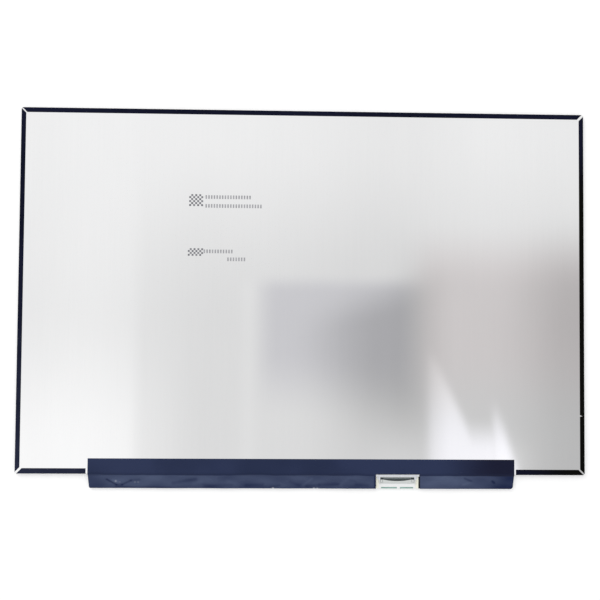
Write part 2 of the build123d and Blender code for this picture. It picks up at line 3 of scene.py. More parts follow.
import bpy
from mathutils import Euler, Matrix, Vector


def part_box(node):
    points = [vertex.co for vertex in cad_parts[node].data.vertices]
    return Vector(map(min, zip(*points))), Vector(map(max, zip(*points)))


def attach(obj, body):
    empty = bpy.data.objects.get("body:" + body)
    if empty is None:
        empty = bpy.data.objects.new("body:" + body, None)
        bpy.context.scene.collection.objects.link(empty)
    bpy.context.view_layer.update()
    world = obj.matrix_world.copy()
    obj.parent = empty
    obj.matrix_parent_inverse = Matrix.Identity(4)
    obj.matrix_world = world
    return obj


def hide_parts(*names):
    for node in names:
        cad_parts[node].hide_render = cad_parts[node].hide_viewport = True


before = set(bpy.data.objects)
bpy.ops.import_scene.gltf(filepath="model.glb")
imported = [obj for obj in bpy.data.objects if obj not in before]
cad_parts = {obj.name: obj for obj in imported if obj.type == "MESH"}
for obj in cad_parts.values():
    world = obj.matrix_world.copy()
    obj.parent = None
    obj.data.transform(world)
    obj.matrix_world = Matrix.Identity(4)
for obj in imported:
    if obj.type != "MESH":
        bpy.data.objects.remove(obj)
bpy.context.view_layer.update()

# Looks of the laptop screen panel: it lies face down on a pale floor, seen from above.
# The scene is in metres. Pieces are worked out in millimetres, and MM turns those into metres.
scene = bpy.context.scene
scene.view_settings.view_transform = "Standard"
MM = 0.001


class Graph:
    """Adds shader nodes to a tree and links them."""

    def __init__(self, tree):
        self.tree = tree

    def add(self, kind, **settings):
        node = self.tree.nodes.new(kind)
        for key, value in settings.items():
            setattr(node, key, value)
        return node

    def feed(self, socket, source):
        """Links a socket to another, or sets a plain value on it."""
        if isinstance(source, bpy.types.NodeSocket):
            self.tree.links.new(source, socket)
        else:
            socket.default_value = source

    def math(self, operation, *terms):
        node = self.add("ShaderNodeMath", operation=operation)
        for socket, term in zip(node.inputs, terms):
            self.feed(socket, term)
        return node.outputs[0]

    def total(self, first, *others):
        for other in others:
            first = self.math("ADD", first, other)
        return first

    def product(self, first, *others):
        for other in others:
            first = self.math("MULTIPLY", first, other)
        return first

    def place(self):
        """Object coordinates, which are metres in the shared frame."""
        return self.add("ShaderNodeTexCoord").outputs["Object"]

    def axes(self, vector):
        node = self.add("ShaderNodeSeparateXYZ")
        self.feed(node.inputs[0], vector)
        return node.outputs

    def stretched(self, vector, factors):
        node = self.add("ShaderNodeVectorMath", operation="MULTIPLY")
        self.feed(node.inputs[0], vector)
        self.feed(node.inputs[1], factors)
        return node.outputs[0]

    def noise(self, vector, size, detail=2.0):
        """Noise from 0 to 1 with patches of about the given size."""
        node = self.add("ShaderNodeTexNoise")
        self.feed(node.inputs["Vector"], vector)
        self.feed(node.inputs["Scale"], 1 / size)
        self.feed(node.inputs["Detail"], detail)
        return node.outputs["Fac"]

    def cells(self, vector, size):
        """Distance to the nearest of scattered points, in cells of about the given size."""
        node = self.add("ShaderNodeTexVoronoi")
        self.feed(node.inputs["Vector"], vector)
        self.feed(node.inputs["Scale"], 1 / size)
        return node.outputs["Distance"]

    def step(self, value, start, end, low=0.0, high=1.0):
        """Smooth change from low to high while the value goes from start to end."""
        node = self.add("ShaderNodeMapRange", interpolation_type="SMOOTHSTEP")
        for socket, term in zip(node.inputs, (value, start, end, low, high)):
            self.feed(socket, term)
        return node.outputs["Result"]

    def bell(self, value, middle, reach):
        """Soft ridge: 1 in its middle, falling to 0 on both sides."""
        offset = self.math("DIVIDE", self.math("SUBTRACT", value, middle), reach)
        return self.math("EXPONENT", self.product(offset, offset, -1.0))

    def hump(self, p, q, middle, reach):
        """Soft round spot: 1 in its middle, falling to 0 along each of two axes."""
        return self.product(self.bell(p, middle[0], reach[0]), self.bell(q, middle[1], reach[1]))

    def blend(self, share, first, second):
        """Colour between two colours."""
        node = self.add("ShaderNodeMix", data_type="RGBA")
        for socket, term in zip((node.inputs[0], node.inputs[6], node.inputs[7]), (share, first, second)):
            self.feed(socket, term if isinstance(term, (float, bpy.types.NodeSocket)) else (*term, 1.0))
        return node.outputs[2]

    def bump(self, height, depth, strength=1.0):
        node = self.add("ShaderNodeBump")
        self.feed(node.inputs["Height"], height)
        self.feed(node.inputs["Distance"], depth)
        self.feed(node.inputs["Strength"], strength)
        return node.outputs["Normal"]


def new_material(name):
    """Material with its node graph and the shader's input sockets."""
    material = bpy.data.materials.new(name)
    material.use_nodes = True
    shader = material.node_tree.nodes["Principled BSDF"]
    return material, Graph(material.node_tree), shader.inputs


def plain_finish(name, pale, deep, patch, rough, grain, relief, **sockets):
    """Finish that wanders between two tones over patches, with a fine grain in its gloss and relief."""
    material, g, shader = new_material(name)
    place = g.place()
    fine = g.noise(place, grain, 3.0)
    tone = g.step(g.total(g.product(g.noise(place, patch), 0.7), g.product(fine, 0.3)), 0.3, 0.7)
    g.feed(shader["Base Color"], g.blend(tone, deep, pale))
    g.feed(shader["Roughness"], g.step(fine, 0.25, 0.75, rough[0], rough[1]))
    g.feed(shader["Normal"], g.bump(fine, relief))
    for socket, value in sockets.items():
        shader[socket.replace("_", " ")].default_value = value
    return material


def satin_metal():
    """Rolled satin sheet: fine grain, faint rolling lines up the sheet and soft handling smears."""
    material, g, shader = new_material("satin_plate")
    place = g.place()
    lines = g.noise(g.stretched(place, (1.0, 0.02, 1.0)), 1.1 * MM, 3.0)
    grain = g.noise(place, 0.22 * MM, 2.0)
    smear = g.noise(g.stretched(place, (1.0, 0.45, 1.0)), 46 * MM, 3.0)
    tone = g.total(g.product(grain, 0.6), g.product(lines, 0.12), g.product(smear, 0.28))
    colour = g.blend(g.step(tone, 0.35, 0.65), (0.895, 0.897, 0.902), (0.935, 0.935, 0.938))
    g.feed(shader["Base Color"], colour)
    gloss = g.total(g.product(grain, 0.5), g.product(smear, 0.5))
    g.feed(shader["Roughness"], g.step(gloss, 0.3, 0.7, 0.03, 0.05))
    relief = g.total(grain, g.product(lines, 0.15))
    g.feed(shader["Normal"], g.bump(relief, 0.001 * MM, 0.2))
    shader["Metallic"].default_value = 1.0
    return material


def edge_film():
    """Thin near-black tape: navy, with painted light making it paler near the lower left corner and painted
    shade making it black down the right-hand side.
    """
    material, g, shader = new_material("edge_film")
    place = g.place()
    x, y, _ = g.axes(place)
    grain = g.noise(place, 0.3 * MM, 3.0)
    waves = g.noise(place, 9 * MM, 2.0)
    drift = g.noise(place, 60 * MM, 2.0)
    tone = g.step(g.total(g.product(grain, 0.2), g.product(waves, 0.3), g.product(drift, 0.5)), 0.35, 0.65)
    navy = g.blend(tone, (0.0032, 0.0042, 0.0140), (0.0066, 0.0080, 0.0240))
    pale = g.blend(tone, (0.0130, 0.0160, 0.0360), (0.0250, 0.0300, 0.0580))
    black = g.blend(tone, (0.0012, 0.0012, 0.0004), (0.0030, 0.0030, 0.0022))
    # Painted light: paler navy towards the lower left corner; painted shade: black down the right-hand side
    corner = g.product(g.step(x, -90 * MM, -125 * MM), g.step(y, 10 * MM, -95 * MM))
    right = g.product(g.step(x, 112 * MM, 148 * MM), g.step(y, 88 * MM, 55 * MM))
    colour = g.blend(right, g.blend(corner, navy, pale), black)
    g.feed(shader["Base Color"], colour)
    g.feed(shader["Roughness"], g.step(grain, 0.3, 0.7, 0.34, 0.44))
    g.feed(shader["Normal"], g.bump(g.total(waves, g.product(grain, 0.2)), 0.03 * MM, 0.4))
    shader["Specular IOR Level"].default_value = 0.04
    return material


def cover_film(fold_y, right_x, glints_and_nicks):
    """Glossy navy film: paler over the board, darker at its right-hand end, with painted shadow above the
    fold, painted crease shade and sheen, painted glints and a few pale nicks.
    """
    material, g, shader = new_material("cover_film")
    place = g.place()
    x, y, _ = g.axes(place)
    clouds = g.noise(g.stretched(place, (0.4, 1.0, 1.0)), 6 * MM, 3.0)
    drift = g.noise(place, 34 * MM, 2.0)
    fine = g.noise(place, 0.35 * MM, 2.0)
    ripple = g.math("SUBTRACT", g.noise(place, 11 * MM, 2.0), 0.5)
    line = g.total(y, g.product(g.math("SUBTRACT", drift, 0.5), 0.9 * MM), g.product(ripple, 1.0 * MM))
    span = g.step(line, fold_y - 0.25 * MM, fold_y - 0.85 * MM)
    # The tone attribute holds painted shade in creases, at the lower edge and by the window, and painted
    # sheen on ridges
    tone = g.add("ShaderNodeAttribute", attribute_name="tone").outputs["Fac"]
    stuck = g.blend(g.step(drift, 0.35, 0.65), (0.014, 0.023, 0.064), (0.021, 0.032, 0.084))
    end = g.step(x, right_x - 44 * MM, right_x - 8 * MM)
    stuck = g.blend(end, stuck, (0.0045, 0.0062, 0.027))
    # Painted shadow: a darker band on the stuck film just above the fold
    fold_shadow = g.product(g.step(line, fold_y + 1.3 * MM, fold_y), 0.35)
    stuck = g.blend(fold_shadow, stuck, (0.007, 0.013, 0.045))
    tone = g.total(tone, g.product(g.math("SUBTRACT", clouds, 0.5), 0.35))
    tone = g.math("MINIMUM", g.math("MAXIMUM", tone, 0.0), 1.0)
    loose = g.blend(tone, (0.008, 0.016, 0.060), (0.078, 0.102, 0.182))
    colour = g.blend(span, stuck, loose)
    # Painted glints on the creases and pale nicks at the lower edge
    for spot, radius, share in glints_and_nicks:
        mark = g.product(g.hump(x, y, spot, (radius, radius)), share)
        colour = g.blend(mark, colour, (0.70, 0.72, 0.78))
    g.feed(shader["Base Color"], colour)
    g.feed(shader["Roughness"], g.step(clouds, 0.3, 0.7, 0.2, 0.3))
    g.feed(shader["Normal"], g.bump(g.total(g.product(clouds, span), g.product(fine, 0.05)), 0.08 * MM, 0.4))
    shader["Specular IOR Level"].default_value = 0.15
    return material


def screen_film(lit_low, lit_high):
    """Front polarizer: anti-glare grain, with the lit area a shade paler than the border."""
    material, g, shader = new_material("screen_film")
    place = g.place()
    x, y, _ = g.axes(place)
    edge = 0.15 * MM
    inside = g.product(
        g.step(x, lit_low[0], lit_low[0] + edge), g.step(x, lit_high[0], lit_high[0] - edge),
        g.step(y, lit_low[1], lit_low[1] + edge), g.step(y, lit_high[1], lit_high[1] - edge),
    )
    grain = g.noise(place, 0.12 * MM, 3.0)
    lit = g.blend(g.step(grain, 0.3, 0.7), (0.012, 0.012, 0.015), (0.018, 0.018, 0.021))
    g.feed(shader["Base Color"], g.blend(inside, (0.004, 0.004, 0.005), lit))
    g.feed(shader["Roughness"], g.step(grain, 0.3, 0.7, 0.3, 0.42))
    g.feed(shader["Normal"], g.bump(grain, 0.004 * MM, 0.5))
    return material


def clear_sheet(name, tint, cloud, rough, clarity):
    """Clear or translucent sheet with a faint cloudiness."""
    material, g, shader = new_material(name)
    place = g.place()
    haze = g.noise(place, 5 * MM, 3.0)
    g.feed(shader["Base Color"], g.blend(g.step(haze, 0.3, 0.7), tint, cloud))
    g.feed(shader["Roughness"], g.step(haze, 0.3, 0.7, rough[0], rough[1]))
    shader["Transmission Weight"].default_value = clarity
    shader["IOR"].default_value = 1.5
    return material


def board_mask(dark_x, middle_x, bare_half):
    """Green solder mask over fine tracks and filled holes.

    Its tinned copper is bare beside the connector, and it is darker in a strip past the right-hand land.
    """
    material, g, shader = new_material("board_mask")
    place = g.place()
    tracks = g.noise(g.stretched(place, (0.25, 1.0, 1.0)), 0.5 * MM, 1.0)
    raised = g.step(tracks, 0.47, 0.53)
    holes = g.step(g.cells(place, 1.6 * MM), 0.12, 0.2)
    mask = g.blend(raised, (0.20, 0.35, 0.30), (0.29, 0.47, 0.42))
    mask = g.blend(holes, (0.05, 0.17, 0.12), mask)
    x, _, _ = g.axes(place)
    # Darker strip past the right-hand land
    dark_strip_edge = g.step(x, dark_x, dark_x + 0.05 * MM)
    dark_strip_end = g.step(x, dark_x + 1.6 * MM, dark_x + 1.5 * MM)
    offset = g.math("ABSOLUTE", g.math("SUBTRACT", x, middle_x))
    bare_edge = g.step(offset, bare_half - 0.05 * MM, bare_half)
    bare_end = g.step(offset, bare_half + 0.35 * MM, bare_half + 0.3 * MM)
    bare = g.product(bare_edge, bare_end)
    mask = g.blend(bare, mask, (0.84, 0.85, 0.80))
    g.feed(shader["Base Color"], g.blend(g.product(dark_strip_edge, dark_strip_end), mask, (0.008, 0.010, 0.011)))
    g.feed(shader["Roughness"], g.step(raised, 0.0, 1.0, 0.35, 0.26))
    g.feed(shader["Normal"], g.bump(g.total(raised, holes), 0.02 * MM, 0.6))
    return material


def plated_lands(middle_x, front_half):
    """Plated lands: warm at the sides, tinned and whiter in front of the connector."""
    material, g, shader = new_material("plated_land")
    place = g.place()
    x, _, _ = g.axes(place)
    grain = g.noise(place, 0.14 * MM, 3.0)
    offset = g.math("ABSOLUTE", g.math("SUBTRACT", x, middle_x))
    side = g.step(offset, front_half, front_half + 0.2 * MM)
    tin = g.blend(g.step(grain, 0.3, 0.7), (0.86, 0.88, 0.89), (0.95, 0.95, 0.95))
    warm = g.blend(g.step(grain, 0.3, 0.7), (0.97, 0.96, 0.80), (1.0, 0.99, 0.90))
    g.feed(shader["Base Color"], g.blend(side, tin, warm))
    g.feed(shader["Roughness"], g.step(grain, 0.25, 0.75, 0.3, 0.45))
    g.feed(shader["Normal"], g.bump(grain, 0.008 * MM, 0.5))
    shader["Metallic"].default_value = 0.03
    return material


def connector_resin(low, high):
    """Ivory moulding, with painted shade over its recessed contact bed."""
    material, g, shader = new_material("connector_resin")
    place = g.place()
    x, y, z = g.axes(place)
    grain = g.noise(place, 0.18 * MM, 3.0)
    ivory = g.blend(g.step(grain, 0.3, 0.7), (0.60, 0.63, 0.62), (0.72, 0.74, 0.73))
    bed_shade = g.blend(g.step(grain, 0.3, 0.7), (0.020, 0.030, 0.032), (0.045, 0.062, 0.066))
    edge = 0.05 * MM
    # Painted shade over the recessed contact bed
    bed = g.product(
        g.step(x, low[0], low[0] + edge), g.step(x, high[0], high[0] - edge),
        g.step(y, low[1], low[1] + edge), g.step(z, high[2], high[2] - edge),
    )
    g.feed(shader["Base Color"], g.blend(bed, ivory, bed_shade))
    g.feed(shader["Roughness"], g.step(grain, 0.3, 0.7, 0.4, 0.52))
    g.feed(shader["Normal"], g.bump(grain, 0.006 * MM, 0.5))
    return material


def dress(material, *names):
    """Puts a material on CAD nodes."""
    for name in names:
        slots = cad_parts[name].data.materials
        slots.clear()
        slots.append(material)


def new_piece(name, points, faces, material):
    """Smooth-shaded mesh in the shared frame that rides with the panel; its points are in millimetres."""
    mesh = bpy.data.meshes.new(name)
    mesh.from_pydata([Vector(point) * MM for point in points], [], faces)
    mesh.shade_smooth()
    mesh.materials.append(material)
    piece = bpy.data.objects.new(name, mesh)
    scene.collection.objects.link(piece)
    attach(piece, "root")
    return piece


def box_mm(name):
    """Lowest and highest corner of a CAD node, in millimetres."""
    low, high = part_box(name)
    return low / MM, high / MM


def smooth(value, start, end):
    """Smooth step from 0 at start to 1 at end."""
    share = min(1.0, max(0.0, (value - start) / (end - start)))
    return share * share * (3 - 2 * share)


# Points of a node that lie closer than this along X count as one stretch, in millimetres
SOLID_GAP = 12.0


def solid_spans(name):
    """Stretches along X that the separate solids of a node take up, and the node's top."""
    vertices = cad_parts[name].data.vertices
    places = sorted(vertex.co.x / MM for vertex in vertices)
    top = max(vertex.co.z for vertex in vertices) / MM
    spans = [[places[0], places[0]]]
    for place in places:
        if place - spans[-1][1] > SOLID_GAP:
            spans.append([place, place])
        spans[-1][1] = place
    return [(start, end, top) for start, end in spans]


# Camera, floor and light: turns in degrees, lens and sensor in millimetres, power in watts
CAMERA_PLACE = (-12.73 * MM, -16.015 * MM, 434.69 * MM)
CAMERA_TURN = (1.989, -1.453, 0.438)
CAMERA_LENS = 48.0
CAMERA_SENSOR = 36.0
CAMERA_NEAR = 0.01
FLOOR_HALF = 6.0
FLOOR_LEVEL = -0.1 * MM
FLOOR_GLOW = (0.33, 0.44)
FLOOR_GLOW_RUN = (0.4, 1.6)
LAMP_PLACE = (-0.6, 0.85, 0.8)
LAMP_SIZE = 1.0
LAMP_POWER = 6.2

camera_data = bpy.data.cameras.new("camera")
camera_data.lens = CAMERA_LENS
camera_data.sensor_width = CAMERA_SENSOR
camera_data.clip_start = CAMERA_NEAR
camera = bpy.data.objects.new("camera", camera_data)
camera.location = CAMERA_PLACE
camera.rotation_euler = Euler([math.radians(angle) for angle in CAMERA_TURN])
scene.collection.objects.link(camera)
scene.camera = camera


def make_floor():
    """Pale floor that takes the panel's shadow and looks white to the camera and in reflections."""
    half, level = FLOOR_HALF, FLOOR_LEVEL
    mesh = bpy.data.meshes.new("floor")
    corners = [(-half, -half, level), (half, -half, level), (half, half, level), (-half, half, level)]
    mesh.from_pydata(corners, [], [(0, 1, 2, 3)])
    floor = bpy.data.objects.new("floor", mesh)
    scene.collection.objects.link(floor)
    material, g, shader = new_material("floor")
    place = g.place()
    x, y, _ = g.axes(place)
    reach = g.math("SQRT", g.total(g.product(x, x), g.product(y, y)))
    paper = g.noise(place, 2 * MM, 2.0)
    g.feed(shader["Base Color"], g.blend(paper, (0.77, 0.77, 0.77), (0.79, 0.79, 0.79)))
    shader["Roughness"].default_value = 0.9
    shader["Specular IOR Level"].default_value = 0.0
    path = g.add("ShaderNodeLightPath").outputs
    seen = g.math("MAXIMUM", path["Is Camera Ray"], path["Is Glossy Ray"])
    seen = g.math("MAXIMUM", seen, path["Is Transmission Ray"])
    shader["Emission Color"].default_value = (1.0, 1.0, 1.0, 1.0)
    glow = g.step(reach, *FLOOR_GLOW_RUN, *FLOOR_GLOW)
    g.feed(shader["Emission Strength"], g.product(seen, glow))
    mesh.materials.append(material)


def ceiling_tone(g, p, q):
    """Soft tones overhead that the satin plate mirrors; p and q are a direction's X and Y over its Z."""
    # Darker towards the lower edge, with a dip above the middle and a paler left-hand side
    drop = g.product(q, -1.0)
    fall = g.step(q, 0.26, 0.0, 0.0, -0.155)
    dip = g.product(g.bell(p, 0.135, 0.10), g.step(q, 0.02, 0.08, 0.0, -0.055))
    left = g.total(
        g.step(p, -0.165, -0.19, 0.0, 0.45),
        g.step(p, -0.085, -0.17, 0.0, 0.35),
        g.step(p, -0.18, -0.27, 0.0, 0.18),
    )
    pale = g.product(left, g.total(g.step(q, 0.26, 0.0, 0.03, 0.14), g.step(q, 0.03, -0.17, 0.0, 0.14)))

    # Grey zone in the middle with a pale line beside it, and a darker right-hand side
    ridge = g.product(g.bell(p, -0.039, 0.010), g.step(q, 0.07, 0.04, 0.0, 0.03))
    inside = g.step(p, 0.20, 0.14)
    patch = g.product(g.step(p, -0.04, -0.002), g.step(q, 0.070, 0.044), g.step(q, -0.12, -0.025))
    lower = g.product(g.step(p, 0.0, 0.12), g.step(q, -0.025, -0.12), -0.085)
    zone = g.product(inside, g.total(g.product(patch, -0.135), lower))
    right = g.product(g.step(p, 0.13, 0.20), g.step(q, 0.14, 0.045), -0.14)
    far_depth = g.step(drop, -0.02, 0.16, -0.12, -0.07)
    far_right = g.product(g.step(p, 0.27, 0.37), g.step(q, 0.16, 0.06), far_depth)

    # Darkest spot, between a slanted upper and a slanted lower edge
    blob = g.product(
        g.step(p, 0.0, 0.13), g.step(p, 0.225, 0.14),
        g.step(g.math("SUBTRACT", q, g.product(p, 0.3)), 0.034, -0.028),
        g.step(g.total(q, g.product(p, 0.434)), -0.125, 0.005), -0.205,
    )

    # White gleam with two tips, joined below them
    slant = g.math("SUBTRACT", p, g.product(drop, 0.486))
    first = g.product(
        g.step(p, 0.179, 0.194), g.step(slant, 0.184, 0.168), g.step(p, 0.185, 0.215, 0.58, 1.0),
        g.step(drop, 0.01, 0.05), g.step(drop, 0.035, 0.155, 0.16, 0.37),
    )
    outer = g.math("SUBTRACT", p, g.product(drop, 0.32))
    second = g.product(g.step(p, 0.262, 0.274), g.step(outer, 0.249, 0.235), g.step(drop, 0.075, 0.15), 0.41)
    bridge = g.product(g.step(p, 0.215, 0.23), g.step(p, 0.28, 0.265), g.step(drop, 0.108, 0.155), 0.38)
    gleam = g.math("MAXIMUM", g.math("MAXIMUM", first, second), bridge)
    glow = g.product(g.hump(p, q, (0.292, -0.165), (0.025, 0.025)), 0.08)

    # Paler foot of the dark spot, dimmer left and right edges, and the tints
    foot = g.product(g.hump(p, q, (0.165, -0.16), (0.035, 0.04)), 0.06)
    sides = g.total(g.step(p, -0.24, -0.31, 0.0, -0.02), g.step(p, 0.24, 0.37, 0.0, -0.035))
    tone = g.total(fall, dip, pale, ridge, zone, right, far_right, blob, gleam, glow, foot, sides, -0.072)
    cool = g.math("MAXIMUM", g.product(inside, patch), g.product(gleam, 3.0))
    warm = g.product(g.step(p, 0.15, 0.20), g.step(q, 0.14, 0.06), g.step(drop, 0.13, 0.02))
    return tone, cool, warm


def make_world():
    """Studio dome: white at the horizon, dimmer above it, with soft tones straight overhead."""
    world = bpy.data.worlds.new("studio")
    world.use_nodes = True
    scene.world = world
    g = Graph(world.node_tree)
    background = world.node_tree.nodes["Background"].inputs
    x, y, z = g.axes(g.add("ShaderNodeTexCoord").outputs["Generated"])
    upward = g.math("MAXIMUM", z, 0.05)
    p = g.math("DIVIDE", x, upward)
    q = g.math("DIVIDE", y, upward)
    far = g.math("SQRT", g.total(g.product(p, p), g.product(q, q)))
    above = g.step(far, 0.9, 0.5)
    tone, cool, warm = ceiling_tone(g, p, q)
    grade = g.total(g.step(z, 0.2, 0.8, -0.19, -0.29), g.product(x, 0.07))
    dome = g.product(g.step(z, 0.08, 0.20), g.step(far, 0.5, 0.9), grade)
    g.feed(background["Strength"], g.total(g.product(tone, above), dome, 1.0))
    tint = g.blend(g.product(cool, above), (1.0, 1.0, 1.0), (0.99, 0.985, 1.025))
    g.feed(background["Color"], g.blend(g.product(warm, above), tint, (1.03, 0.985, 0.985)))


def add_lamp(name, place, size, power):
    """Square soft lamp aimed at the panel, kept out of its reflections."""
    lamp_data = bpy.data.lights.new(name, "AREA")
    lamp_data.size = size
    lamp_data.energy = power
    lamp = bpy.data.objects.new(name, lamp_data)
    lamp.location = place
    lamp.rotation_euler = (-Vector(place)).to_track_quat("-Z", "Y").to_euler()
    lamp.visible_camera = False
    lamp.visible_glossy = False
    scene.collection.objects.link(lamp)


make_floor()
make_world()
add_lamp("key", LAMP_PLACE, LAMP_SIZE, LAMP_POWER)

# Places that materials and pieces share, in millimetres
cover_low, cover_high = box_mm("board_cover_tape")
plate_low, plate_high = box_mm("back_plate")
_, board_high = box_mm("control_board")
housing_low, housing_high = box_mm("connector_housing")
lands_low, lands_high = box_mm("board_lands")
EDGE_TAPE = 0.06
PANEL_LOW = plate_low.y - EDGE_TAPE
FILM = 0.06


# Cover film: the CAD tape's form with the creases and waves of thin film, in millimetres
FOLD_RUN = 1.15
FOLD_START = 0.12
EDGE_ROUND = 0.35
UNDER_ROUND = 0.12
FRONT_FLANGE = 2.0
COVER_TAPER = 0.9
CORNER_LEFT = 0.8
CORNER_RIGHT = 1.3
WINDOW_GAP_LEFT = 0.08
WINDOW_GAP_RIGHT = 0.8
WINDOW_INSET = 0.2
WINDOW_LEFT = lands_low.x - WINDOW_GAP_LEFT
WINDOW_RIGHT = lands_high.x + WINDOW_GAP_RIGHT
WINDOW_TOP = PANEL_LOW + WINDOW_INSET
SPAN_HEIGHT = 0.7
SPAN_LENGTH = 9.0
HOLD = 0.4
COLUMN = 0.45
DROOP = 0.22
DROOP_RUN = 1.3
DEEPEST = -0.17
LOOSE_START = 0.5
LOOSE_END = 1.6
CLEAR_RUN = 1.5
ROW_ON_PLATE = 0.6
ROW_AT_FOLD = 0.1
ROW_ON_BOARD = 0.3
EDGE_ROWS = 6
WALL_ROWS = 5
UNDER_ROWS = 4
FLANGE_ROWS = 4

# Waves: height, turn along X and along Y in radians per millimetre, and shift in radians
WAVES = [(0.03, 0.24, 0.7, 0.0), (0.02, 0.41, -0.6, 1.3)]

# Tone of the film: level, share of the relief in it (painted shade in the creases, painted sheen on the
# ridges), and painted shade at its lower edge and beside the window
TONE_LEVEL = 0.51
RELIEF_SHADING = 2.2
EDGE_SHADE = 0.16
EDGE_SHADE_TOP = 3.2
EDGE_SHADE_FOOT = 0.6
WINDOW_SHADE = 0.8
WINDOW_SHADE_RUN = 1.4
WINDOW_SHADE_FULL = 0.3
WINDOW_SHADE_END = 0.1

# Creases: start and end in X and Y, height (negative sinks) and half width
CREASES = [
    ((-104.5, -97.6), (-99.2, -100.5), -0.22, 0.45),
    ((-99.2, -100.6), (-96.2, -100.6), -0.14, 0.50),
    ((-96.2, -100.4), (-91.5, -98.2), -0.20, 0.50),
    ((-91.5, -98.2), (-87.0, -97.8), -0.10, 0.60),
    ((-101.0, -98.2), (-98.4, -98.8), 0.12, 0.80),
    ((-69.0, -99.4), (-57.0, -97.4), -0.13, 1.00),
    ((-58.0, -99.8), (-54.0, -98.6), 0.06, 0.90),
    ((-52.0, -100.9), (-38.0, -100.6), -0.09, 1.00),
    ((-40.0, -98.4), (-34.0, -100.2), 0.05, 0.80),
    ((-30.0, -100.6), (-21.0, -100.3), -0.09, 1.10),
    ((-17.0, -101.4), (-12.0, -100.6), -0.08, 0.70),
    ((-6.5, -98.6), (-0.5, -101.0), -0.07, 0.90),
    ((-0.4, -101.2), (5.4, -97.0), 0.08, 0.70),
    ((2.5, -101.0), (9.0, -100.4), -0.09, 0.80),
    ((9.5, -100.2), (19.7, -99.9), -0.11, 0.90),
    ((20.5, -100.2), (23.5, -98.0), 0.06, 0.80),
    ((26.0, -97.6), (29.0, -98.4), -0.06, 0.60),
    ((29.0, -100.0), (35.5, -100.6), -0.08, 0.90),
    ((88.0, -96.7), (91.4, -98.1), -0.17, 0.60),
    ((87.2, -99.9), (91.4, -98.6), 0.08, 0.70),
    ((103.0, -98.2), (103.9, -98.9), -0.20, 0.60),
    ((-99.5, -101.6), (-70.5, -101.9), -0.12, 0.50),
]

# Broad tones of the film along the board: middle and half width in X, and the change of tone
FILM_TONES = [(-84.0, 24.0, 0.14), (76.0, 15.0, 0.35), (113.0, 10.0, -0.45), (-112.0, 7.0, -0.22)]


def cover_supports():
    """Stretches along X where parts hold the film up, with the height of each above the board."""
    names = ("timing_controller", "power_converter", "backlight_driver", "level_shifter", "memory_chip")
    spans = []
    for name in (*names, "power_inductors", "backlight_socket"):
        spans += solid_spans(name)
    return sorted((start - HOLD, end + HOLD, top - board_high.z) for start, end, top in spans)


def cover_stations(supports):
    """Places along the film and its height there: it rests on the parts and sinks between them."""
    stations = [(cover_low.x, SPAN_HEIGHT)]
    for start, end, height in supports:
        last = stations[-1][0]
        if start - last > SPAN_LENGTH:
            stations.append(((last + start) / 2, SPAN_HEIGHT))
        stations += [(start, height), (end, height)]
    stations.append((cover_high.x, SPAN_HEIGHT))
    return stations


def film_height(x, stations):
    """Height of the film above the board at a place along it."""
    for (start, low), (end, high) in zip(stations, stations[1:]):
        if start <= x <= end:
            return low + (high - low) * smooth(x, start, end)
    return SPAN_HEIGHT


def crease(x, y, start, end, height, width):
    """Height that one crease adds at a point."""
    along = Vector(end) - Vector(start)
    offset = Vector((x, y)) - Vector(start)
    share = offset.dot(along) / along.length_squared
    distance = (offset - along * min(1.0, max(0.0, share))).length
    return height * math.exp(-((distance / width) ** 2))


def film_strain(x, y):
    """Waves and creases that the film would take with nothing under it."""
    waves = sum(height * math.sin(a * x + b * y + shift) for height, a, b, shift in WAVES)
    total = waves + sum(crease(x, y, *entry) for entry in CREASES)
    return total * smooth(y, PANEL_LOW - LOOSE_START, PANEL_LOW - LOOSE_END)


def film_relief(x, y, supports):
    """Waves and creases of the film as it lies: over a part it can only stand proud."""
    relief = film_strain(x, y)
    if relief < 0:
        clear = min(max(start - x, x - end) for start, end, _ in supports)
        relief = max(relief * smooth(clear, 0.0, CLEAR_RUN), DEEPEST)
    return relief


def film_tone(x, y):
    """Tone of the film over the board, from 0 for dark to 1 for pale: painted shade in creases, at the lower
    edge and beside the window, and painted sheen on ridges.
    """
    # Painted shade in the creases and painted sheen on the ridges, from the relief
    tone = TONE_LEVEL + RELIEF_SHADING * film_strain(x, y)
    tone += sum(change * math.exp(-(((x - middle) / width) ** 2)) for middle, width, change in FILM_TONES)
    # Painted shade along the lower edge and beside the window
    tone -= EDGE_SHADE * smooth(y, cover_low.y + EDGE_SHADE_TOP, cover_low.y + EDGE_SHADE_FOOT)
    nearing = smooth(x, WINDOW_LEFT - WINDOW_SHADE_RUN, WINDOW_LEFT - WINDOW_SHADE_FULL)
    leaving = smooth(x, WINDOW_LEFT + WINDOW_SHADE_FULL, WINDOW_LEFT + WINDOW_SHADE_END)
    return tone - WINDOW_SHADE * nearing * leaving


def cover_rows():
    """Rows of the film from the plate to the board's underside, each with a place, an angle or a share."""
    rows = []
    y = cover_high.y
    while y > WINDOW_TOP + ROW_ON_PLATE / 2:
        rows.append(("flat", y))
        y -= ROW_ON_PLATE
    rows.append(("flat", WINDOW_TOP))
    y = WINDOW_TOP - ROW_AT_FOLD
    fold_end = PANEL_LOW - FOLD_RUN
    while y > fold_end:
        rows.append(("flat", y))
        y -= ROW_AT_FOLD
    y = fold_end
    edge = cover_low.y + EDGE_ROUND
    while y > edge + ROW_ON_BOARD / 2:
        rows.append(("flat", y))
        y -= ROW_ON_BOARD
    rows += [("edge", 90 * i / EDGE_ROWS) for i in range(EDGE_ROWS + 1)]
    rows += [("wall", i / WALL_ROWS) for i in range(1, WALL_ROWS)]
    rows += [("under", 90 * i / UNDER_ROWS) for i in range(UNDER_ROWS + 1)]
    rows += [("flange", i / FLANGE_ROWS) for i in range(1, FLANGE_ROWS + 1)]
    return rows


def edge_droop(y):
    """How far the film bends down near its lower edge."""
    return DROOP * smooth(y, cover_low.y + DROOP_RUN, cover_low.y)


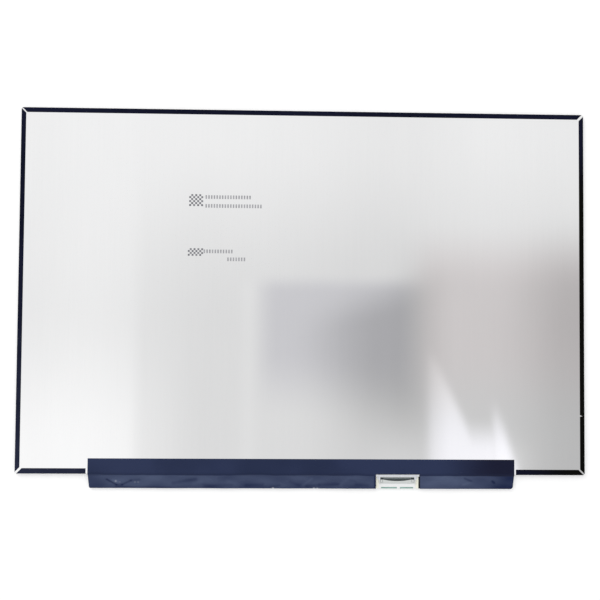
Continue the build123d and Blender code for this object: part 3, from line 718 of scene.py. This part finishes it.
def film_point(x, row, stations, supports):
    """Y and Z of the film's outer face at a place along it."""
    kind, value = row
    level = board_high.z + film_height(x, stations) + FILM
    if kind == "flat":
        level += film_relief(x, value, supports) - edge_droop(value)
        rise = smooth(value, PANEL_LOW - FOLD_RUN, PANEL_LOW + FOLD_START)
        return value, level + (cover_high.z - level) * rise
    edge_y = cover_low.y + EDGE_ROUND
    edge_z = level + film_relief(x, edge_y, supports) - edge_droop(edge_y)
    if kind == "edge":
        angle = math.radians(value)
        return edge_y - EDGE_ROUND * math.sin(angle), edge_z - EDGE_ROUND * (1 - math.cos(angle))
    wall_top = edge_z - EDGE_ROUND
    wall_foot = cover_low.z + UNDER_ROUND
    if kind == "wall":
        return cover_low.y, wall_top + (wall_foot - wall_top) * value
    if kind == "under":
        angle = math.radians(value)
        return (
            cover_low.y + UNDER_ROUND * (1 - math.cos(angle)),
            wall_foot - UNDER_ROUND * math.sin(angle),
        )
    start = cover_low.y + UNDER_ROUND
    end = cover_low.y + FILM + FRONT_FLANGE
    return start + (end - start) * value, cover_low.z


def end_inset(y, radius):
    """How far in an end of the film lies at a place along Y: a slight taper and a rounded corner."""
    taper = COVER_TAPER * min(1.0, max(0.0, (PANEL_LOW - y) / (PANEL_LOW - cover_low.y)))
    depth = max(0.0, radius - (y - cover_low.y))
    return taper + radius - math.sqrt(max(0.0, radius**2 - depth**2))


def make_cover_film(material):
    """Film over the board as one fine sheet, open at the connector window."""
    supports = cover_supports()
    stations = cover_stations(supports)
    rows = cover_rows()
    left_count = round((WINDOW_LEFT - cover_low.x) / COLUMN)
    window_count = round((WINDOW_RIGHT - WINDOW_LEFT) / COLUMN)
    right_count = round((cover_high.x - WINDOW_RIGHT) / COLUMN)
    window_columns = range(left_count, left_count + window_count)
    points = []
    for row in rows:
        y, _ = film_point(0.0, row, stations, supports)
        left = cover_low.x + end_inset(y, CORNER_LEFT)
        right = cover_high.x - end_inset(y, CORNER_RIGHT)
        places = [left + (WINDOW_LEFT - left) * i / left_count for i in range(left_count)]
        places += [WINDOW_LEFT + (WINDOW_RIGHT - WINDOW_LEFT) * i / window_count for i in range(window_count)]
        places += [WINDOW_RIGHT + (right - WINDOW_RIGHT) * i / right_count for i in range(right_count + 1)]
        for x in places:
            points.append((x, *film_point(x, row, stations, supports)))
    columns = left_count + window_count + right_count + 1
    window_row = rows.index(("flat", WINDOW_TOP))
    faces = []
    for r in range(len(rows) - 1):
        for c in range(columns - 1):
            if r >= window_row and c in window_columns:
                continue
            corner = r * columns + c
            faces.append((corner, corner + columns, corner + columns + 1, corner + 1))
    used = sorted({index for face in faces for index in face})
    order = {index: i for i, index in enumerate(used)}
    points = [points[index] for index in used]
    faces = [tuple(order[index] for index in face) for face in faces]
    piece = new_piece("cover_film", points, faces, material)
    tone = piece.data.attributes.new("tone", "FLOAT", "POINT")
    tone.data.foreach_set("value", [film_tone(x, y) for x, y, _ in points])
    thicken = piece.modifiers.new("thickness", "SOLIDIFY")
    thicken.thickness = FILM * MM
    thicken.offset = -1.0
    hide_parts("board_cover_tape")


# Pale marks on the film: the first four are painted glints on its creases, the last three pale nicks at its
# lower edge; place in X and Y, radius and strength
GLINTS_AND_NICKS = [
    ((-99.6, -98.5), 0.45, 0.30),
    ((-97.4, -99.0), 0.30, 0.12),
    ((-89.4, -99.0), 0.40, 0.12),
    ((-87.7, -99.0), 0.40, 0.12),
    ((-15.6, -102.2), 0.45, 0.9),
    ((6.4, -102.2), 0.40, 0.8),
    ((8.2, -102.2), 0.35, 0.8),
]

make_cover_film(cover_film(
    PANEL_LOW * MM, cover_high.x * MM,
    [((x * MM, y * MM), radius * MM, share) for (x, y), radius, share in GLINTS_AND_NICKS],
))


# Ink marks on the plate: plain checks and rows of equal bars
INK_RISE = 0.012
CHECKS = [((-62.3, 49.5), 7, 6, 1.08), ((-62.7, 22.5), 8, 4, 1.03)]
BARS = [((-53.5, 53.5), 17), ((-53.5, 48.7), 21), ((-54.2, 24.0), 11), ((-41.4, 19.8), 7)]
BAR_PITCH = 1.48
BAR_SIZE = (0.8, 2.0)


def add_block(points, faces, x, y, width, height):
    """Thin raised block of ink on the plate."""
    first = len(points)
    for z in (plate_high.z, plate_high.z + INK_RISE):
        points += [(x, y, z), (x + width, y, z), (x + width, y + height, z), (x, y + height, z)]
    quads = ((0, 3, 2, 1), (4, 5, 6, 7), (0, 1, 5, 4), (1, 2, 6, 5), (2, 3, 7, 6), (3, 0, 4, 7))
    faces += [tuple(first + corner for corner in quad) for quad in quads]


def make_checks(material):
    """Checked squares of ink."""
    points, faces = [], []
    for (x, y), columns, rows, cell in CHECKS:
        for column in range(columns):
            for row in range(rows):
                if (column + row) % 2 == 0:
                    add_block(points, faces, x + column * cell, y + row * cell, cell, cell)
    new_piece("ink_checks", points, faces, material).data.shade_flat()


def make_bars(material):
    """Rows of equal bars of ink."""
    points, faces = [], []
    for (x, y), count in BARS:
        for i in range(count):
            add_block(points, faces, x + i * BAR_PITCH, y, *BAR_SIZE)
    new_piece("ink_bars", points, faces, material).data.shade_flat()


make_checks(plain_finish(
    "dark_ink", (0.26, 0.26, 0.28), (0.15, 0.15, 0.17), 2 * MM, (0.5, 0.65), 0.2 * MM, 0.003 * MM,
    Specular_IOR_Level=0.2,
))
make_bars(plain_finish(
    "grey_ink", (0.44, 0.44, 0.46), (0.32, 0.32, 0.34), 2 * MM, (0.5, 0.65), 0.2 * MM, 0.003 * MM,
    Specular_IOR_Level=0.2,
))

# Materials of the CAD nodes
dress(satin_metal(), "back_plate")
EDGE_TAPES = [f"edge_tape_{place}" for place in ("top", "left", "right", "lower_left", "lower_right")]
dress(edge_film(), *EDGE_TAPES)
SIDE_BORDER = 2.5
TOP_BORDER = 2.5
LOWER_BORDER = 6.0
lit_low = Vector((plate_low.x + SIDE_BORDER, PANEL_LOW + LOWER_BORDER, 0)) * MM
lit_high = Vector((plate_high.x - SIDE_BORDER, plate_high.y - TOP_BORDER, 0)) * MM
dress(screen_film(lit_low, lit_high), "front_polarizer")
dress(plain_finish(
    "rear_film", (0.016, 0.016, 0.018), (0.010, 0.010, 0.012), 6 * MM, (0.2, 0.3), 0.2 * MM, 0.002 * MM,
), "rear_polarizer")
dress(clear_sheet("screen_glass", (0.80, 0.90, 0.87), (0.86, 0.93, 0.91), (0.02, 0.05), 0.95),
      "colour_filter_glass", "array_glass")
dress(clear_sheet("optical_film", (0.88, 0.90, 0.93), (0.93, 0.94, 0.95), (0.25, 0.4), 0.5),
      "upper_prism_sheet", "lower_prism_sheet", "diffuser_sheet")
dress(clear_sheet("light_guide", (0.86, 0.93, 0.94), (0.92, 0.96, 0.96), (0.03, 0.08), 0.9),
      "light_guide_plate")
dress(plain_finish(
    "white_film", (0.95, 0.95, 0.95), (0.89, 0.89, 0.90), 8 * MM, (0.45, 0.6), 0.3 * MM, 0.004 * MM,
), "reflector_sheet")
dress(plain_finish(
    "frame_plastic", (0.040, 0.040, 0.043), (0.022, 0.022, 0.024), 3 * MM, (0.45, 0.6), 0.15 * MM, 0.010 * MM,
), "mid_frame")
dress(plain_finish(
    "black_tape", (0.022, 0.022, 0.022), (0.010, 0.010, 0.010), 3 * MM, (0.55, 0.7), 0.25 * MM, 0.012 * MM,
), "cell_rim_tape", "led_flex_tape")
dress(plain_finish(
    "amber_flex", (0.50, 0.25, 0.05), (0.30, 0.12, 0.02), 1.2 * MM, (0.25, 0.4), 0.3 * MM, 0.006 * MM,
), "led_flex", "source_film_1", "source_film_2", "source_film_3", "source_film_4")
dress(plain_finish(
    "led_resin", (0.95, 0.92, 0.74), (0.86, 0.80, 0.56), 1.5 * MM, (0.4, 0.55), 0.15 * MM, 0.006 * MM,
), "light_bar_leds")
connector_x = (housing_low.x + housing_high.x) / 2
connector_half = (housing_high.x - housing_low.x) / 2
DARK_STRIP_GAP = 0.05
dark_strip_x = lands_high.x + DARK_STRIP_GAP
dress(board_mask(dark_strip_x * MM, connector_x * MM, connector_half * MM), "control_board")
dress(plated_lands(connector_x * MM, connector_half * MM), "board_lands")
dress(plain_finish(
    "chip_epoxy", (0.036, 0.036, 0.038), (0.018, 0.018, 0.019), 0.8 * MM, (0.5, 0.65), 0.1 * MM, 0.010 * MM,
), "timing_controller", "power_converter", "backlight_driver", "level_shifter", "memory_chip")
dress(plain_finish(
    "driver_silicon", (0.12, 0.12, 0.15), (0.06, 0.06, 0.09), 2 * MM, (0.12, 0.2), 0.2 * MM, 0.001 * MM,
    Metallic=0.5,
), "source_driver_1", "source_driver_2", "source_driver_3", "source_driver_4")
dress(plain_finish(
    "inductor_ferrite", (0.14, 0.14, 0.145), (0.08, 0.08, 0.085), 0.9 * MM, (0.6, 0.75), 0.1 * MM, 0.015 * MM,
), "power_inductors")
dress(plain_finish(
    "capacitor_ceramic", (0.55, 0.42, 0.30), (0.40, 0.29, 0.19), 0.6 * MM, (0.4, 0.55), 0.08 * MM, 0.006 * MM,
), "ceramic_capacitors")
dress(plain_finish(
    "resistor_ceramic", (0.09, 0.09, 0.095), (0.04, 0.04, 0.045), 0.5 * MM, (0.35, 0.5), 0.08 * MM,
    0.005 * MM,
), "chip_resistors")
# Box of the contact bed that carries the painted shade
BED_RISE = 0.42
BED_END = 0.7
BED_FRONT = 0.6
bed_low = Vector((housing_low.x + BED_END, housing_low.y + BED_FRONT, 0)) * MM
bed_high = Vector((housing_high.x - BED_END, 0, housing_low.z + BED_RISE)) * MM
dress(connector_resin(bed_low, bed_high), "connector_housing", "backlight_socket")
dress(plain_finish(
    "shell_steel", (0.89, 0.91, 0.95), (0.81, 0.83, 0.88), 1.0 * MM, (0.25, 0.38), 0.12 * MM, 0.004 * MM,
    Metallic=0.9,
), "connector_shell")
dress(plain_finish(
    "contact_plating", (0.44, 0.48, 0.49), (0.30, 0.34, 0.36), 0.4 * MM, (0.2, 0.32), 0.06 * MM, 0.003 * MM,
    Metallic=1.0,
), "connector_contacts", "backlight_socket_contacts")
dress(plain_finish(
    "latch_resin", (0.13, 0.11, 0.10), (0.08, 0.07, 0.06), 1.0 * MM, (0.4, 0.55), 0.1 * MM, 0.008 * MM,
), "backlight_socket_latch")
